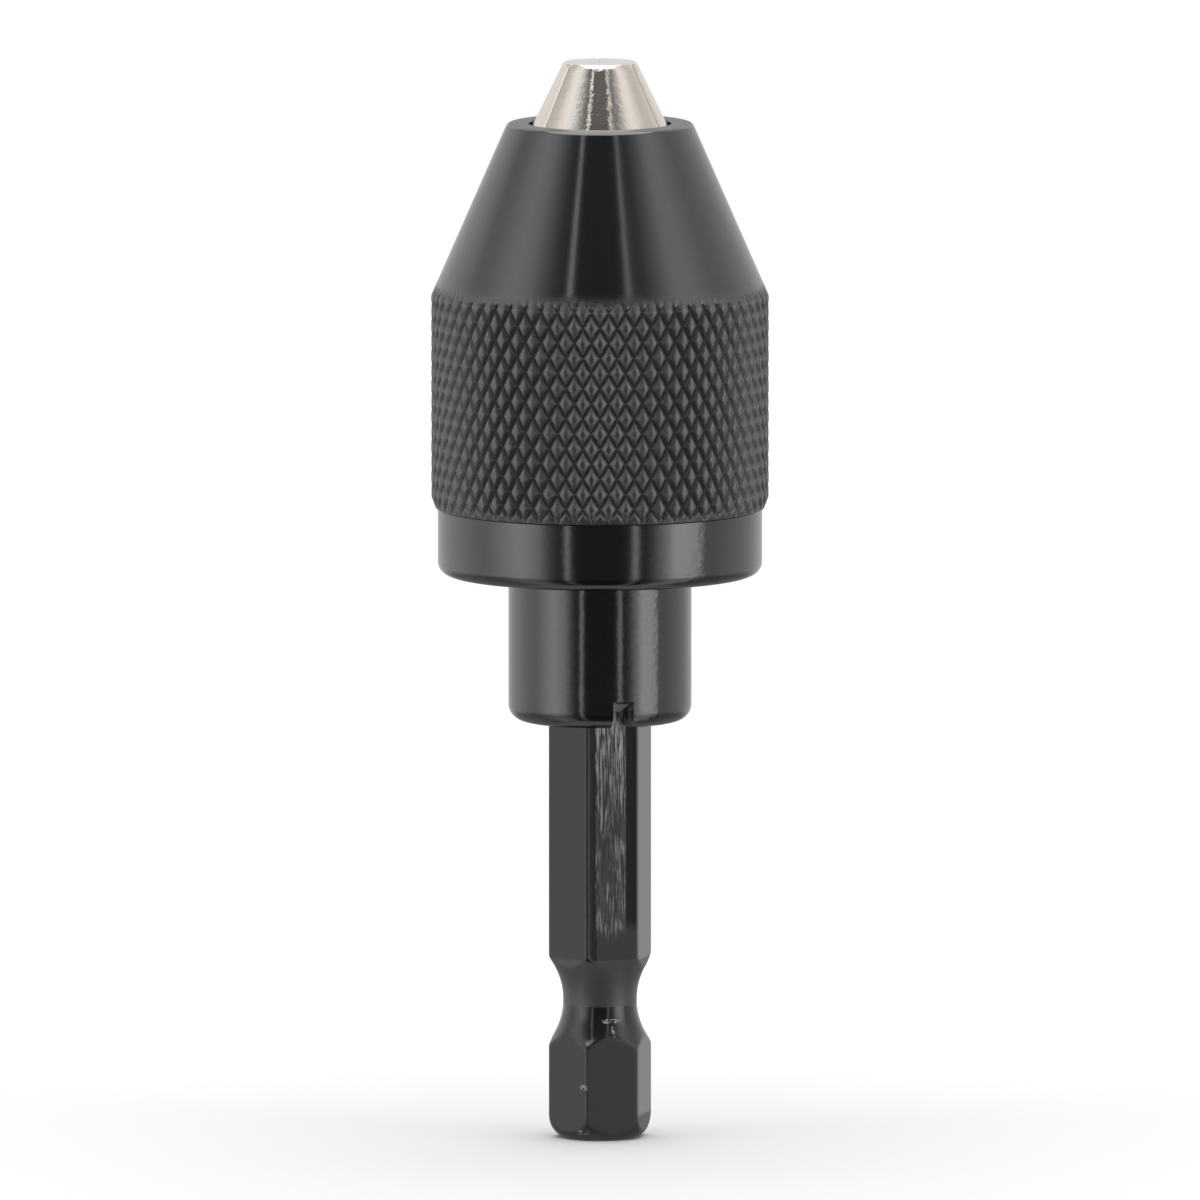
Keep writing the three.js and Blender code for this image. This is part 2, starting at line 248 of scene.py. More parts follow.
TENT_UPPER = [
    (-180, 1.0, WHITE), (-150, 0.95, WHITE), (-129, 0.75, WHITE), (-111, 0.5, WHITE),
    (-98, 0.6, WHITE), (-85, 0.83, WHITE), (-73, 1.0, COOL), (-61, 0.85, COOL),
    (-50, 0.5, COOL), (-39, 0.2, COOL), (-30, 0.1, COOL), (-27.5, 0.1, WHITE),
    (-26.5, 1.2, WHITE), (-23.5, 1.2, WHITE), (-22.5, 0.09, WHITE), (-17, 0.08, COOL),
    (15, 0.08, COOL), (21.0, 0.12, WHITE), (22.0, 0.9, WHITE), (25, 0.9, WHITE),
    (26.5, 0.2, WHITE), (37, 0.18, COOL), (50, 0.46, WHITE), (62, 0.84, WHITE),
    (74, 0.88, WHITE), (86, 0.7, WHITE), (98, 0.56, WHITE), (112, 0.58, WHITE),
    (129, 0.75, WHITE), (150, 1.0, WHITE), (180, 1.0, WHITE),
]

# ---- Places, read from the frame, in millimetres ----


def span(node):
    """Lowest and highest corner of a node in millimetres."""
    low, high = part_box(node)
    return np.array(low) / MM, np.array(high) / MM


shank_high = span("hex_shank")[1]
hub_low, hub_high = span("hub_body")
ring_low, ring_high = span("rear_ring")
sleeve_low, sleeve_high = span("sleeve")
jaw_low, jaw_high = span("jaw_1")
thrust_high = span("front_thrust_washer")[1]
ball_low, ball_high = span("bearing_ball_01")

apothem = shank_high[1]
shank_corner = shank_high[0]
shank_top = shank_high[2]
hub_rear = hub_low[2]
flange_radius = hub_high[0]
flange_rear = ball_high[2] + SEAT_GAP
flange_front = flange_rear + FLANGE_THICKNESS
stub_top = hub_high[2]
ring_rear = ring_low[2]
ring_radius = ring_high[0]
ring_top = ring_rear + RING_HEIGHT
spigot_top = ring_high[2]
grip_radius = sleeve_high[0]
sleeve_rear = sleeve_low[2]
nose_top = sleeve_high[2]
spigot_radius = grip_radius - SPIGOT_COVER
thread_radius = grip_radius - THREAD_COVER
ball_radius = (ball_high[2] - ball_low[2]) / 2
ball_circle = (ball_high[0] + ball_low[0]) / 2
hub_radius = 2 * ball_circle - flange_radius
hub_passage = hub_radius + TURNING_GAP
stub_radius = flange_radius - STUB_STEP
carrier_radius = thread_radius - RUNNING_GAP
jaw_bottom = span("jaw_carrier")[1][2] + RUNNING_GAP
jaw_top = jaw_high[2]
mouth_radius = JAW_NOSE_RADIUS + MOUTH_GAP
nose_edge_radius = mouth_radius + NOSE_RIM
cone_front = nose_top - NOSE_ROUND
cone_front_radius = nose_edge_radius + NOSE_ROUND
cone_rear_radius = grip_radius - CONE_STEP
cone_rear = cone_front - (cone_rear_radius - cone_front_radius) / math.tan(CONE_HALF_ANGLE)
inner_cone_radius = JAW_NOSE_RADIUS + RUNNING_GAP
inner_cone_rear = nose_top - (thread_radius - inner_cone_radius) / math.tan(JAW_HALF_ANGLE)
mouth_bottom = nose_top - (mouth_radius - inner_cone_radius) / math.tan(JAW_HALF_ANGLE)
counterbore_top = thrust_high[2] + SEAT_GAP


# ---- Surfaces ----


def ring_of(count):
    """Angles of that many columns evenly round the axis."""
    return np.arange(count) * TAU / count


def outline(corners, steps=6):
    """A line through corners (radius, height, rounding), where each rounded corner is a true arc.

    The arc touches both sides at rounding / tan(half the corner's angle) from the corner."""
    points = []
    for k, (radius, height, rounding) in enumerate(corners):
        here = np.array([radius, height], float)
        if rounding == 0:
            points.append(here)
            continue
        back = np.array(corners[k - 1][:2], float) - here
        ahead = np.array(corners[(k + 1) % len(corners)][:2], float) - here
        back /= np.linalg.norm(back)
        ahead /= np.linalg.norm(ahead)
        half = math.acos(np.clip(back @ ahead, -1, 1)) / 2
        middle = (back + ahead) / np.linalg.norm(back + ahead)
        centre = here + middle * rounding / math.sin(half)
        start = here + back * rounding / math.tan(half) - centre
        end = here + ahead * rounding / math.tan(half) - centre
        first = math.atan2(start[1], start[0])
        turn = math.atan2(end[1], end[0]) - first
        turn = (turn + math.pi) % TAU - math.pi
        for step in np.linspace(0, 1, steps + 1):
            angle = first + turn * step
            points.append(centre + rounding * np.array([math.cos(angle), math.sin(angle)]))
    return np.array(points)


def around(radius, height, angle):
    """Grid points at a radius and height for each row and column, turned about the axis."""
    radius, height, angle = np.broadcast_arrays(radius, height, angle)
    return np.stack([radius * np.cos(angle), radius * np.sin(angle), height], -1)


def grid_faces(rows, columns, closed_rows=False):
    """Four-sided faces of a grid whose columns close; they look outwards where rows climb."""
    row, column = np.meshgrid(
        np.arange(rows if closed_rows else rows - 1), np.arange(columns), indexing="ij")
    next_row = (row + 1) % rows
    next_column = (column + 1) % columns
    quads = [row * columns + column, row * columns + next_column,
             next_row * columns + next_column, next_row * columns + column]
    return np.stack(quads, -1).reshape(-1, 4)


def finish_piece(name, points, faces, body, nodes, material, sharp=32):
    """One closed mesh from points in millimetres, welded, shaded smooth between sharp edges."""
    mesh = bpy.data.meshes.new(name)
    mesh.from_pydata((np.reshape(points, (-1, 3)) * MM).tolist(), [], faces)
    work = bmesh.new()
    work.from_mesh(mesh)
    bmesh.ops.remove_doubles(work, verts=work.verts, dist=WELD)
    bmesh.ops.dissolve_degenerate(work, edges=work.edges, dist=SLIVER)
    work.to_mesh(mesh)
    work.free()
    mesh.shade_smooth()
    mesh.set_sharp_from_angle(angle=sharp * DEG)
    mesh.materials.append(material)
    piece = bpy.data.objects.new(name, mesh)
    bpy.context.scene.collection.objects.link(piece)
    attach(piece, body)
    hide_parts(*nodes)
    return piece


def turned_piece(name, line, columns, body, nodes, material):
    """A piece turned about the axis from one outline that runs anticlockwise round its wall."""
    points = around(line[:, :1], line[:, 1:], ring_of(columns)[None, :])
    faces = grid_faces(len(line), columns, True).tolist()
    return finish_piece(name, points, faces, body, nodes, material)


def soft_min(a, b, blend):
    """The smaller of two arrays, with the crease between them rounded over the blend width."""
    return (a + b - np.sqrt((a - b) ** 2 + blend ** 2)) / 2


# ---- Finishes ----


class Value:
    """A shader socket that takes part in sums as a number does."""

    def __init__(self, sheet, socket):
        self.sheet = sheet
        self.socket = socket

    def math(self, operation, *others):
        return self.sheet.node("ShaderNodeMath", {"operation": operation}, [self, *others])

    def __add__(self, other):
        return self.math("ADD", other)

    def __mul__(self, other):
        return self.math("MULTIPLY", other)

    __rmul__ = __mul__

    def __sub__(self, other):
        return self.math("SUBTRACT", other)

    def __truediv__(self, other):
        return self.math("DIVIDE", other)

    def __abs__(self):
        return self.math("ABSOLUTE")

    def step(self, low, high):
        """0 below low and 1 above high, with a smooth rise between; low may be the larger."""
        return self.sheet.node("ShaderNodeMapRange", {"interpolation_type": "SMOOTHSTEP"},
                               {"Value": self, "From Min": low, "From Max": high})


class Sheet:
    """A tree of shader nodes that nodes and links are added to."""

    def __init__(self, tree):
        self.tree = tree

    def node(self, kind, settings=(), inputs=(), output=0):
        """Any node: its type, its settings, then the values or links of its sockets."""
        made = self.tree.nodes.new(kind)
        for key, setting in dict(settings).items():
            if key == "stops":
                self.set_stops(made.color_ramp.elements, setting)
            else:
                setattr(made, key, setting)
        pairs = inputs.items() if isinstance(inputs, dict) else enumerate(inputs)
        for key, value in pairs:
            self.feed(made.inputs[key], value)
        return made if output is None else Value(self, made.outputs[output])

    def set_stops(self, elements, stops):
        """A ramp's stops, each a position from 0 to 1 and a colour."""
        for k, (position, colour) in enumerate(stops):
            stop = elements[k] if k < len(elements) else elements.new(position)
            stop.position = position
            stop.color = (*colour, 1)

    def feed(self, socket, value):
        """A link into a socket, or a plain number or colour set on it."""
        if isinstance(value, Value):
            self.tree.links.new(value.socket, socket)
        else:
            socket.default_value = value

    def mix(self, factor, low, high):
        """One colour blended into another by a factor."""
        low, high = (c if isinstance(c, Value) else (*c, 1) for c in (low, high))
        return self.node("ShaderNodeMix", {"data_type": "RGBA"},
                         {0: factor, 6: low, 7: high}, output=2)


class Finish(Sheet):
    """One material: its nodes, and the object's own coordinates in millimetres."""

    def __init__(self, name, colour, roughness, metallic=0.0, gloss=1.5):
        self.material = bpy.data.materials.new(name)
        self.material.use_nodes = True
        super().__init__(self.material.node_tree)
        self.shader = self.tree.nodes["Principled BSDF"]
        self.set(Base_Color=(*colour, 1), Roughness=roughness, Metallic=metallic, IOR=gloss)
        self.material.diffuse_color = (*colour, 1)
        place = self.node("ShaderNodeTexCoord", output="Object")
        self.place = self.node("ShaderNodeVectorMath", {"operation": "SCALE"},
                               {"Vector": place, "Scale": 1 / MM})
        axes = self.node("ShaderNodeSeparateXYZ", {}, [self.place], output=None)
        self.x, self.y, self.z = (Value(self, socket) for socket in axes.outputs)

    def set(self, **inputs):
        """Values or links for the shader's own sockets."""
        for key, value in inputs.items():
            self.feed(self.shader.inputs[key.replace("_", " ")], value)

    def noise(self, stretch, detail=2.0, roughness=0.5):
        """Noise from 0 to 1 that varies so many times a millimetre along X, Y and Z."""
        place = self.node("ShaderNodeVectorMath", {"operation": "MULTIPLY"},
                          [self.place, stretch])
        return self.node("ShaderNodeTexNoise", {},
                         {"Vector": place, "Scale": 1.0, "Detail": detail,
                          "Roughness": roughness})

    def radius(self):
        """Distance from the axis in millimetres."""
        return (self.x * self.x + self.y * self.y).math("SQRT")

    def relief(self, height):
        """The surface is bumped by a height in millimetres."""
        bump = self.node("ShaderNodeBump", {}, {"Height": height, "Distance": MM})
        self.set(Normal=bump)

    def spot(self, middle, size):
        """1 inside a soft-edged box about a middle and 0 outside it."""
        soft_from = 0.6
        mask = 1.0
        for axis, centre, half in zip((self.x, self.y, self.z), middle, size):
            mask = mask * abs(axis - centre).step(half, half * soft_from)
        return mask


def black_gloss(name, roughness, wander, grain):
    """Black finish on turned steel: the tool's lines bend reflections sideways by 'wander'
    millimetres, and 'grain' is the depth of the fine pitting. One side is a little rubbed."""
    finish = Finish(name, BLACK, roughness, gloss=BLACK_GLOSS)
    lines = finish.noise(TURNED_LINES, 3.0)
    fine = finish.noise(PITTING)
    bearing = finish.y.math("ARCTAN2", finish.x) / DEG
    rubbed = abs(bearing - RUBBED_BEARING).step(RUBBED_HALF_WIDTH, RUBBED_HALF_WIDTH * 0.4)
    streaks = finish.noise(RUB_STREAKS, 3.0)
    finish.relief(lines * wander + fine * grain + streaks * (rubbed * RUBBED_DEPTH))
    patches = finish.noise(SHEEN_PATCHES, 3.0)
    variation = 0.05
    finish.set(Roughness=patches * variation + (roughness - variation / 2))
    return finish


def ring_black():
    """The ring's black, on fine turning that hardly bends its reflections."""
    return black_gloss("black_ring", 0.12, 0.008, 0.0008).material


def hub_black():
    """The hub's black, with the notch's face painted matte grey as a painted reflection of the
    floor in front of it.
    """
    finish = black_gloss("black_hub", 0.10, 0.015, 0.0012)
    in_notch = finish.spot((0.0, NOTCH_FACE_Y, hub_rear + NOTCH_HEIGHT), NOTCH_FACE_HALF)
    # The notch's face is painted grey: a painted reflection of the floor in front of it.
    finish.set(Base_Color=finish.mix(in_notch, BLACK, NOTCH_PAINTED_REFLECTION))
    return finish.material


def knurl_black():
    """The grip's black: matte with pitting, and crests rubbed a little brighter along their
    edges. The cone is glossy, and the nose's flat rim is matte again."""
    finish = Finish("black_grip", BLACK, 0.2, gloss=BLACK_GLOSS)
    grain = finish.noise(GRIP_GRAIN, 3.0)
    lines = finish.noise(HOOD_LINES, 3.0)
    on_grip = finish.z.step(cone_rear + 1.2, cone_rear + 0.2)
    on_rim = finish.z.step(nose_top - 0.06, nose_top - 0.02)
    finish.relief(lines * 0.005 + grain * (on_grip * 0.025 + 0.0012))
    base_tone = finish.mix(on_grip, BLACK, GRIP_COLOUR)
    radius = finish.radius()
    crest_edge = (radius.step(grip_radius - CREST_EDGE_DEPTH, grip_radius - CREST_EDGE_DEPTH / 2)
                  * radius.step(grip_radius - 0.011, grip_radius - 0.02))
    rubbed = crest_edge * on_grip * (grain.step(0.35, 0.65) * 0.8 + 0.2)
    finish.set(Base_Color=finish.mix(rubbed, base_tone, RUBBED_CREST),
               Roughness=on_grip * 0.26 + on_rim * 0.3 + grain * 0.05 + 0.09)
    return finish.material


def scratched_strip(finish, front):
    """The mask of the scuffed strip on the front flat, with ragged edges, and the scratches in
    it, which are closest near the hub."""
    half = SCUFF_WIDTH / 2
    wobble = (finish.noise(STRIP_WOBBLE) - 0.5) * 0.12
    across = abs(finish.x - SCUFF_SHIFT) + wobble
    strip = front * across.step(half + 0.04, half - 0.04)
    pits = finish.noise(SCRATCHES, 4.0, 0.65)
    ragged = finish.z + (pits - 0.5) * 6.0
    strip = strip * ragged.step(SCUFF_HEIGHT - 0.3, SCUFF_HEIGHT + 0.3)
    worn = finish.noise(WEAR_PATCHES).step(0.42, 0.58)
    near_hub = finish.z.step(hub_rear - SCUFF_NEAR_HUB, hub_rear)
    scuff = strip * pits.step(0.49, 0.58) * (near_hub * 0.75 + worn * 0.4 + 0.1)
    return strip, pits, scuff


def shank_black():
    """Drawn hexagon bar with a black finish. The faces below the ball groove and the upper half
    of the groove are matte and painted lighter grey as a painted reflection of the floor, and a
    scuffed strip runs up the middle of the front face."""
    finish = Finish("black_shank", SHANK_COLOUR, 0.2, gloss=SHANK_GLOSS)
    grain = finish.noise(SHANK_GRAIN, 3.0)
    drawn = finish.noise(DRAWN_LINES)
    front = finish.y.step(-apothem * 0.97, -apothem * 0.99)
    strip, pits, scuff = scratched_strip(finish, front)
    # The groove's upper half is made rougher and painted lighter grey, a painted reflection of
    # the floor.
    upper_groove = (finish.z.step(GROOVE_HEIGHT - 0.35, GROOVE_HEIGHT - 0.2)
                    * finish.z.step(GROOVE_HEIGHT + 3.1, GROOVE_HEIGHT + 2.9))
    end = finish.z.step(SHANK_END_HEIGHT + 0.1, SHANK_END_HEIGHT - 0.3)
    below_strip = front * finish.z.step(SCUFF_HEIGHT + 0.5, SCUFF_HEIGHT - 0.5)
    right_of_edge = finish.x.step(-SCUFF_WIDTH / 2 - 0.05, -SCUFF_WIDTH / 2 + 0.05)
    foot = finish.z.step(GROOVE_HEIGHT - 2.0, GROOVE_HEIGHT - 2.5)
    # Low on the front face the shank is made rougher and painted lighter grey, a painted
    # reflection of the floor.
    satin_and_painted_reflection = below_strip * right_of_edge.math("MAXIMUM", foot)
    nicks = 0.0
    for middle, size in SHANK_NICKS:
        nicks = finish.spot(middle, size) * grain.step(0.47, 0.58) + nicks
    finish.relief(strip * (pits * 0.03 + 0.02) + drawn * 0.0012 + grain * 0.0006
                  + nicks * 0.03)
    # The grey mixed in here is a painted reflection of the floor in the groove's upper half and
    # low on the front face, plus a little real wear on the strip.
    base_tone = finish.mix(upper_groove + satin_and_painted_reflection * 0.45 + strip * 0.1, SHANK_COLOUR, SHANK_WEAR_AND_PAINTED_REFLECTION)
    bright = (scuff + nicks).math("MINIMUM", 1.0)
    finish.set(
        Base_Color=finish.mix(bright, base_tone, SCRATCHED_STEEL),
        Roughness=strip * 0.25 + satin_and_painted_reflection * 0.2 + (upper_groove + end) * 0.3 + drawn * 0.04 + 0.11)
    return finish.material


def jaw_nickel():
    """Bright nickel plate, a little warm, over marks left by grinding along the cone. The flat
    tips are ground bare and duller."""
    finish = Finish("nickel_jaws", NICKEL, 0.1, 0.92)
    ground = finish.noise(GRINDING, 4.0, 0.55)
    fine = finish.noise(FINE_GRINDING)
    finish.relief(ground * 0.026 + fine * 0.009)
    dull = finish.noise(DULL_PATCHES, 3.0)
    on_tip = finish.z.step(jaw_top - 0.04, jaw_top - 0.01)
    finish.set(Base_Color=finish.mix(on_tip, NICKEL, GROUND_NICKEL),
               Roughness=dull * 0.05 + on_tip * 0.25 + 0.01)
    return finish.material


def bare_metal(name, colour, roughness, line_depth):
    """Turned bare metal with faint circular tool lines."""
    finish = Finish(name, colour, roughness, 1.0)
    circles = finish.noise(TURNED_CIRCLES)
    rings = (finish.radius() * TOOL_RINGS).math("SINE")
    finish.relief(circles * line_depth + rings * line_depth * 0.15)
    variation = 0.12
    finish.set(Roughness=circles * variation + (roughness - variation / 2))
    return finish.material


# ---- Sleeve ----


def knurl_stand(turns, climb):
    """How far the knurl stands up, from 0 in a groove to 1 on a crest.

    The arguments are the place in grooves round the grip and in rows up it. Two families of
    grooves cross, at whole values of their sum and of their difference. The surface rises from
    the nearer groove at a constant slope, which leaves four-sided pyramids with flat tops."""
    to_groove = np.minimum(
        np.abs(turns + climb - np.round(turns + climb)),
        np.abs(turns - climb - np.round(turns - climb)))
    return np.minimum(2 * to_groove / KNURL_FLAT, 1)


def knurl_faces(quads):
    """Each four-sided cell of the grip cut into two triangles along the groove it is nearer to,
    so that the grooves' edges run straight."""
    row, column = np.meshgrid(*map(np.arange, quads.shape[:2]), indexing="ij")
    turns = (column + 0.5) / KNURL_CELLS
    climb = (row + 0.5) / KNURL_CELLS
    to_rising = np.abs(turns - climb - np.round(turns - climb))
    to_falling = np.abs(turns + climb - np.round(turns + climb))
    falling = (to_falling < to_rising)[..., None]
    halves = [np.where(falling, quads[..., [0, 1, 3]], quads[..., [0, 1, 2]]),
              np.where(falling, quads[..., [1, 2, 3]], quads[..., [0, 2, 3]])]
    return np.concatenate([half.reshape(-1, 3) for half in halves])


def thread_groove(angle, height):
    """A right-hand thread: 0 on the crest and 1 at the root, with straight flanks between.

    The phase is the height in pitches less the angle in turns."""
    phase = height / THREAD_PITCH - angle / TAU
    from_root = np.abs(phase - np.round(phase)) * 2
    return np.clip((THREAD_CREST - from_root) / (THREAD_CREST - THREAD_ROOT), 0, 1)


def grip_rows(angle):
    """The knurled grip's rows, from its rear face to where the knurl has run out on the cone.

    The radius is the smaller of the blank's, which is chamfered, straight and then coned, and
    the knurl's. Also returned: how many cells there are, and the last row's radius and height."""
    row_step = KNURL_ROW / KNURL_CELLS
    cells = math.ceil((cone_rear + KNURL_RUNOUT - sleeve_rear) / row_step)
    height = (sleeve_rear + row_step * np.arange(cells + 1))[:, None]
    chamfer = GRIP_CHAMFER_DEPTH / GRIP_CHAMFER_HEIGHT
    cone = cone_rear_radius - (height - cone_rear) * math.tan(CONE_HALF_ANGLE)
    edge = grip_radius - GRIP_CHAMFER_DEPTH + (height - sleeve_rear) * chamfer
    blank = np.minimum(np.minimum(edge, cone), grip_radius)
    stand = knurl_stand(angle * KNURL_COUNT / TAU, (height - sleeve_rear) / KNURL_ROW)
    knurled = grip_radius - KNURL_DEPTH * (1 - stand)
    rows = around(soft_min(blank, knurled, KNURL_BLEND), height, angle)
    return rows, cells, (blank[-1, 0], height[-1, 0])


def thread_rows(angle):
    """The threaded bore's rows, from the inner cone down to the ring's seat. The thread's depth
    fades out at both ends."""
    count = math.ceil((inner_cone_rear - counterbore_top) / THREAD_PITCH * THREAD_STEPS)
    down = np.linspace(inner_cone_rear, counterbore_top, count + 1)[1:, None]
    from_end = np.minimum(inner_cone_rear - down, down - counterbore_top)
    fade = np.clip(from_end / THREAD_FADE, 0, 1)
    return around(thread_radius + thread_groove(angle, down) * fade * THREAD_DEPTH, down, angle)


def make_sleeve(material):
    """The grip and hood in one wall: knurled outside, then the cone, nose, mouth, inner cone and
    thread, and the seat of the rear ring. Each grid row is one height or corner of that line."""
    angle = ring_of(KNURL_COUNT * KNURL_CELLS)[None, :]
    grip, knurl_cells, (last_radius, last_height) = grip_rows(angle)
    cone_corner = cone_front_radius - NOSE_ROUND * math.tan(CONE_HALF_ANGLE)
    nose = outline([
        (last_radius, last_height, 0),
        (cone_corner, nose_top, NOSE_ROUND),
        (mouth_radius, nose_top, MOUTH_ROUND),
        (mouth_radius, mouth_bottom, 0),
        (thread_radius, inner_cone_rear, 0),
    ])[1:]
    front = around(nose[:, :1], nose[:, 1:], angle)
    seat_radius = spigot_radius + RUNNING_GAP
    seat = around(seat_radius, np.array([[counterbore_top], [sleeve_rear]]), angle)
    points = np.concatenate([grip, front, thread_rows(angle), seat])
    rows, columns = points.shape[:2]
    quads = grid_faces(rows, columns, True).reshape(rows, columns, 4)
    faces = knurl_faces(quads[:knurl_cells]).tolist()
    faces += quads[knurl_cells:].reshape(-1, 4).tolist()
    return finish_piece("knurled_sleeve", points, faces, "sleeve_body", ["sleeve"],
                        material)


def make_rear_ring(material):
    """The smooth ring behind the grip, with its floor and the spigot that fits the sleeve."""
    inner = spigot_radius - SPIGOT_WALL
    floor_top = ring_rear + RING_FLOOR
    line = outline([
        (hub_passage, ring_rear, RING_LIP_ROUND),
        (ring_radius, ring_rear, RING_EDGE_ROUND),
        (ring_radius, ring_top, RING_TOP_ROUND),
        (spigot_radius, ring_top, 0),
        (spigot_radius, spigot_top, SPIGOT_ROUND),
        (inner, spigot_top, SPIGOT_ROUND),
        (inner, floor_top, RING_FLOOR_ROUND),
        (hub_passage, floor_top, RING_LIP_ROUND),
    ])
    return turned_piece("smooth_rear_ring", line, RING_COLUMNS, "sleeve_body", ["rear_ring"],
                        material)


# ---- Hub ----


def hub_columns(radius, across_flat):
    """The angle of each column at a radius, and which columns lie in the notch.

    Inside the notch a column keeps its distance from the notch's middle plane, and out to the
    spread's end the columns go back to even steps. Two columns meet on each side of the notch,
    one for the wall's foot and one for its top."""
    even = np.arange(HUB_COLUMNS) - HUB_COLUMNS // 2
    step = TAU / HUB_COLUMNS
    column = np.sort(np.concatenate([even, [-NOTCH_COLUMNS, NOTCH_COLUMNS]]))
    inside = np.abs(column) < NOTCH_COLUMNS
    for wall, twin in ((-NOTCH_COLUMNS, 1), (NOTCH_COLUMNS, 0)):
        inside[np.flatnonzero(column == wall)[twin]] = True
    half = NOTCH_WIDTH / 2
    lean = np.arctan if across_flat else np.arcsin
    side = np.abs(column)
    near = lean(np.minimum(side / NOTCH_COLUMNS, 1) * half / radius)
    edge = lean(half / radius)
    share = (side - NOTCH_COLUMNS) / (NOTCH_SPREAD - NOTCH_COLUMNS)
    spread = edge + (NOTCH_SPREAD * step - edge) * share
    beyond = np.where(side < NOTCH_SPREAD, spread, side * step)
    return np.sign(column) * np.where(side <= NOTCH_COLUMNS, near, beyond), inside


def make_hub(material):
    """The hub's wall from the blind end of the shank's socket, over the rear edge, skin, flange
    and guide, to the blind end of the carrier's socket. Socket rows follow a hexagon."""
    shank_socket = apothem + SEAT_GAP
    tail_socket = (hub_radius - SOCKET_WALL) * math.cos(HEX_HALF)
    socket_end = shank_top + END_GAP
    tail_socket_end = socket_end + HUB_WEB
    notch_top = hub_rear + NOTCH_HEIGHT + NOTCH_SLOPE
    skin = outline([
        (shank_socket, hub_rear, 0),
        (hub_radius, hub_rear, HUB_EDGE_ROUND),
        (hub_radius, notch_top, 0),
        (hub_radius, flange_rear, HUB_FILLET),
        (flange_radius, flange_rear, HUB_FILLET),
        (flange_radius, flange_front, HUB_FILLET),
        (stub_radius, flange_front, STUB_FILLET),
        (stub_radius, stub_top, STUB_MOUTH_ROUND),
        (tail_socket, stub_top, 0),
    ], HUB_ARC_STEPS)[1:-1]
    chamfer = SOCKET_CHAMFER
    lines = [
        (shank_socket, 0.0, socket_end, True), (shank_socket, 1.0, socket_end, True),
        (shank_socket, 1.0, notch_top, True), (shank_socket, 1.0, hub_rear + chamfer, True),
        (shank_socket + chamfer, 1.0, hub_rear, True),
        *((radius, 1.0, height, False) for radius, height in skin),
        (tail_socket + chamfer, 1.0, stub_top, True),
        (tail_socket, 1.0, stub_top - chamfer, True),
        (tail_socket, 1.0, tail_socket_end, True), (tail_socket, 0.0, tail_socket_end, True),
    ]
    rows = []
    for radius, scale, height, across_flat in lines:
        angle, inside = hub_columns(radius, across_flat)
        reach = np.full_like(angle, radius)
        if across_flat:
            from_flat = (np.abs(angle) + HEX_HALF) % (2 * HEX_HALF) - HEX_HALF
            reach = radius / np.cos(from_flat)
        rise = NOTCH_SLOPE * (radius - shank_socket) / (hub_radius - shank_socket)
        notch = np.where(inside, hub_rear + NOTCH_HEIGHT + max(rise, 0), hub_rear)
        rows.append(around(reach * scale, np.maximum(height, notch), angle - math.pi / 2))
    points = np.array(rows)
    faces = grid_faces(*points.shape[:2]).tolist()
    return finish_piece("turned_hub", points, faces, "hub", ["hub_body"], material)


# ---- Shank ----


def hexagon_columns():
    """Each column's angle round the shank and its angle from the middle of its own flat. The
    columns stand closer together towards the corners, by a power of their distance."""
    side = np.linspace(-1, 1, FLAT_COLUMNS + 1)[:-1]
    from_flat = HEX_HALF * np.sign(side) * (1 - (1 - np.abs(side)) ** FLAT_CROWDING)
    flats = np.arange(6) * 2 * HEX_HALF + math.pi / 2
    angle = (from_flat[None, :] + flats[:, None]).ravel()
    return angle[None, :], np.tile(from_flat, 6)[None, :]


def make_shank(material):
    """The hexagon bar with rounded corners, inside a turned envelope that rounds its end and
    cuts the ball groove. Each grid point lies at the smaller of the two radii."""
    angle, from_flat = hexagon_columns()
    centre = (apothem - SHANK_CORNER_ROUND) / math.cos(HEX_HALF)
    from_corner = HEX_HALF - np.abs(from_flat)
    inside = np.maximum(SHANK_CORNER_ROUND ** 2 - (centre * np.sin(from_corner)) ** 2, 0)
    rounded = centre * np.cos(from_corner) + np.sqrt(inside)
    touch = math.atan((apothem - SHANK_CORNER_ROUND) * math.tan(HEX_HALF) / apothem)
    hexagon = np.where(np.abs(from_flat) < touch, apothem / np.cos(from_flat), rounded)
    groove_end = GROOVE_HEIGHT + GROOVE_REACH
    rise = np.concatenate([
        SHANK_END_HEIGHT * (1 - np.cos(np.linspace(0, 90, SHANK_END_ROWS) * DEG)),
        np.linspace(SHANK_END_HEIGHT, groove_end, GROOVE_ROWS)[1:],
        np.linspace(groove_end, shank_top, BAR_ROWS)[1:],
    ])[:, None]
    below = SHANK_END_HEIGHT - np.minimum(rise, SHANK_END_HEIGHT)
    end = shank_corner - SHANK_END_ROUND + np.sqrt(SHANK_END_ROUND ** 2 - below ** 2)
    along = np.minimum(np.abs(rise - GROOVE_HEIGHT), GROOVE_ROUND)
    groove = shank_corner - GROOVE_DEPTH + GROOVE_ROUND - np.sqrt(GROOVE_ROUND ** 2 - along ** 2)
    radius = soft_min(soft_min(hexagon, end, SHANK_BLEND), groove, SHANK_BLEND)
    points = around(radius, rise, angle)
    foot = points[:1] * [0, 0, 1]
    top = points[-1:] * [0, 0, 1]
    points = np.concatenate([foot, points, top])
    faces = grid_faces(*points.shape[:2]).tolist()
    return finish_piece("hexagon_shank", points, faces, "hub", ["hex_shank"],
                        material, sharp=40)


# ---- Jaws ----


def side_points(start, end, count):
    """Even points along a straight side, both ends included."""
    step = np.linspace(0, 1, count)[:, None]
    return np.array(start) * (1 - step) + np.array(end) * step


def block_section(inner, outer, width):
    """The outline of a rectangular foot or neck, with its two outer corners chamfered."""
    half = width / 2
    chamfered = outer - FOOT_CHAMFER
    return np.concatenate([
        side_points((inner, -half), (chamfered, -half), JAW_SIDE_POINTS),
        side_points((outer, -half + FOOT_CHAMFER), (outer, half - FOOT_CHAMFER), JAW_ARC_POINTS),
        side_points((chamfered, half), (inner, half), JAW_SIDE_POINTS),
    ])


